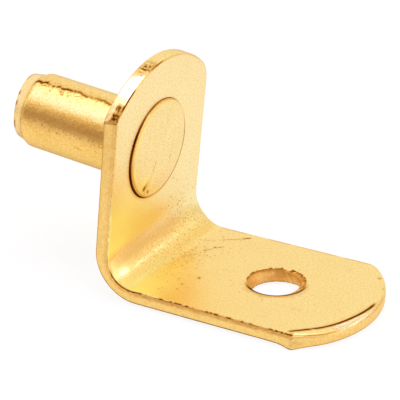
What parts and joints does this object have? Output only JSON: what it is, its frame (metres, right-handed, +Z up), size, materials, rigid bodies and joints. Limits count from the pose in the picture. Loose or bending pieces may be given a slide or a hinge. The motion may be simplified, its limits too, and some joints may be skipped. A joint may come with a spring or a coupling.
{
  "type": "shelf support pin",
  "caption": "Folded strip bracket with round ends and a solid peg headed through its wall leg; the peg plugs into a cabinet side and the bored leg carries a shelf.",
  "frame": {"origin": "on the peg's axis, in the plane of the bracket's wall face, which lies on the cabinet side in use", "axes": "-X along the peg into the cabinet side, +X out under the shelf, +Y across the strip, +Z up towards the wall leg's tip"},
  "size_m": [0.0332, 0.0149, 0.0184],
  "materials": {
    "plated_strip": "bright brass plate on rolled steel strip, with fine pits, handling marks and sheared edges",
    "plated_peg": "bright brass plate on a headed steel peg, with fine tool marks"
  },
  "bodies": {
    "root": {"bracket": "plated_strip", "peg": "plated_peg"}
  },
  "joints": []
}
